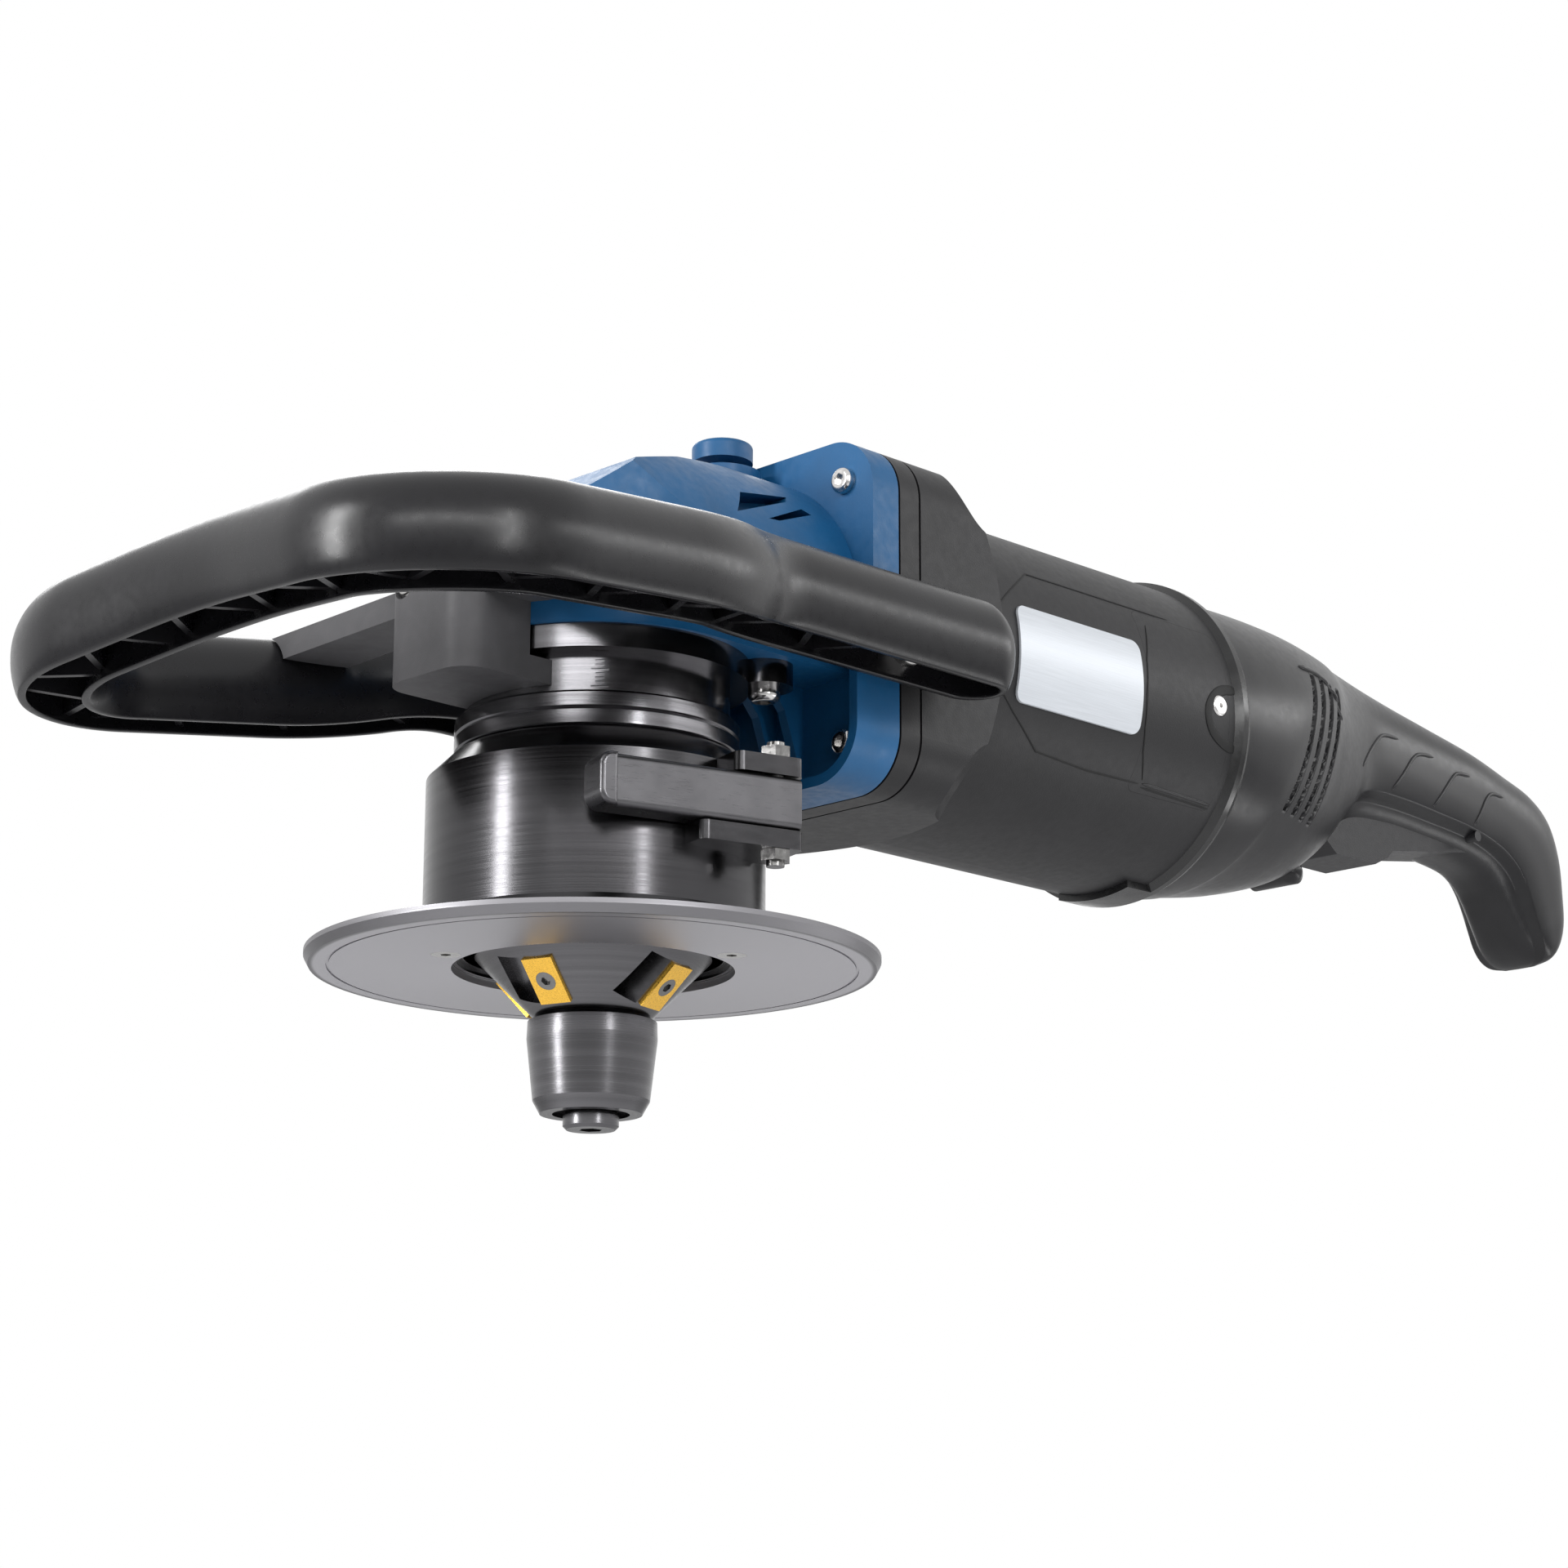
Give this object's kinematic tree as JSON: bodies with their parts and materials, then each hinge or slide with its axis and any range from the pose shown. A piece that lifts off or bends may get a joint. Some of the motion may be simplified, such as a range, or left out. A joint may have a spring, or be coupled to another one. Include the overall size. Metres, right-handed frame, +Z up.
{
  "type": "edge milling machine",
  "caption": "Hand-held electric edge milling machine with a bevel cutter head, pilot roller, height-set guide plate, bow front handle and rear grip.",
  "frame": {"origin": "centre of the guide plate's working face, on the spindle axis", "axes": "+Z up the spindle, +X back along the motor, +Y to the far side of the picture"},
  "size_m": [0.6432, 0.2162, 0.2172],
  "materials": {
    "housing_blue": "satin cast housing in blue paint",
    "body_black": "finely grained black plastic",
    "handle_black": "black plastic with a soft sheen",
    "bracket_grey": "dark grey, finely grained",
    "damper_rubber": "glossy black rubber",
    "turned_steel": "turned, dark",
    "lever_steel": "ground, dark",
    "cutter_steel": "machined",
    "screw_steel": "bright zinc",
    "bearing_steel": "ground",
    "gear_steel": "hardened",
    "insert_carbide": "gold coated carbide",
    "lamination": "stacked sheet",
    "copper": "enamelled copper winding",
    "carbon": "pressed carbon",
    "brass": "bare brass",
    "spring_steel": "drawn wire",
    "inner_plastic": "plain black",
    "fan_plastic": "plain dark",
    "label_silver": "bare printed-plate stock, pale silver",
    "button_blue": "blue"
  },
  "bodies": {
    "machine": {"neck_sleeve": "turned_steel", "bearing_flange": "turned_steel", "bearing_flange_screws": "screw_steel", "spindle_lower_bearing": "bearing_steel", "spindle_upper_bearing": "bearing_steel", "gear_housing": "housing_blue", "gear_housing_screws": "screw_steel", "lock_spring": "spring_steel", "motor_shield": "body_black", "armature_front_bearing": "bearing_steel", "armature_rear_bearing": "bearing_steel", "motor_housing": "body_black", "side_cover_left": "body_black", "side_cover_right": "body_black", "side_cover_screws": "screw_steel", "rating_plate": "label_silver", "stator_core": "lamination", "field_coils": "copper", "brush_holders": "brass", "carbon_brushes": "carbon", "brush_springs": "spring_steel", "damping_ring": "damper_rubber", "rear_handle_left": "handle_black", "rear_handle_right": "handle_black", "rear_handle_screws": "screw_steel", "switch_block": "inner_plastic", "paddle_pin": "screw_steel", "speed_control": "inner_plastic", "cord_inlet": "inner_plastic", "bow_handle": "handle_black", "bow_side_bolts": "screw_steel", "handle_bracket": "bracket_grey", "bracket_screws": "screw_steel"},
    "guide": {"guide_plate": "turned_steel", "guide_plate_screws": "screw_steel", "chip_ring": "turned_steel", "guide_barrel": "turned_steel", "lever_pin": "screw_steel"},
    "clamp_lever": {"clamp_lever": "lever_steel"},
    "depth_ring": {"depth_ring": "turned_steel"},
    "spindle": {"spindle_shaft": "gear_steel", "crown_gear": "gear_steel", "cutter_head": "cutter_steel", "cutting_inserts": "insert_carbide", "insert_screws": "screw_steel", "pilot_screw": "screw_steel"},
    "pilot": {"pilot_roller": "cutter_steel", "pilot_bearings": "bearing_steel"},
    "armature": {"armature_shaft": "gear_steel", "armature_core": "lamination", "armature_coils": "copper", "commutator": "brass", "cooling_fan": "fan_plastic", "pinion": "gear_steel", "lock_collar": "gear_steel"},
    "lock_button": {"lock_button": "button_blue"},
    "switch_paddle": {"switch_paddle": "inner_plastic"}
  },
  "joints": [
    {"name": "armature_spin", "type": "hinge", "parent": "machine", "child": "armature", "pos_m": [0.143, 0, 0.1116], "axis": [1, 0, 0], "continuous": true},
    {"name": "spindle_spin", "type": "hinge", "parent": "machine", "child": "spindle", "pos_m": [0, 0, 0.06], "axis": [0, 0, 1], "continuous": true},
    {"name": "pilot_spin", "type": "hinge", "parent": "spindle", "child": "pilot", "pos_m": [0, 0, -0.028], "axis": [0, 0, 1], "continuous": true},
    {"name": "guide_slide", "type": "slide", "parent": "machine", "child": "guide", "axis": [0, 0, 1], "range_m": [-0.014, 0.0015]},
    {"name": "depth_turn", "type": "hinge", "parent": "guide", "child": "depth_ring", "pos_m": [0, 0, 0.067], "axis": [0, 0, 1], "range_deg": [-420, 45]},
    {"name": "clamp_swing", "type": "hinge", "parent": "guide", "child": "clamp_lever", "pos_m": [0.01329, -0.0605, 0.0409], "axis": [0, 0, 1], "range_deg": [0, 100]},
    {"name": "lock_press", "type": "slide", "parent": "machine", "child": "lock_button", "axis": [0, 0, -1], "range_m": [0, 0.003], "stiffness_N_per_m": 500, "springref_m": -0.004, "deforming": ["lock_spring"]},
    {"name": "paddle_squeeze", "type": "hinge", "parent": "machine", "child": "switch_paddle", "pos_m": [0.424, 0, 0.1085], "axis": [0, 1, 0], "range_deg": [0, 2], "stiffness_Nm_per_rad": 2.5, "springref_deg": -4.58}
  ],
  "couplings": [
    {"joint": "spindle_spin", "follows": "armature_spin", "ratio": 0.25},
    {"joint": "depth_turn", "follows": "guide_slide", "rad_per_m": 523.6}
  ]
}
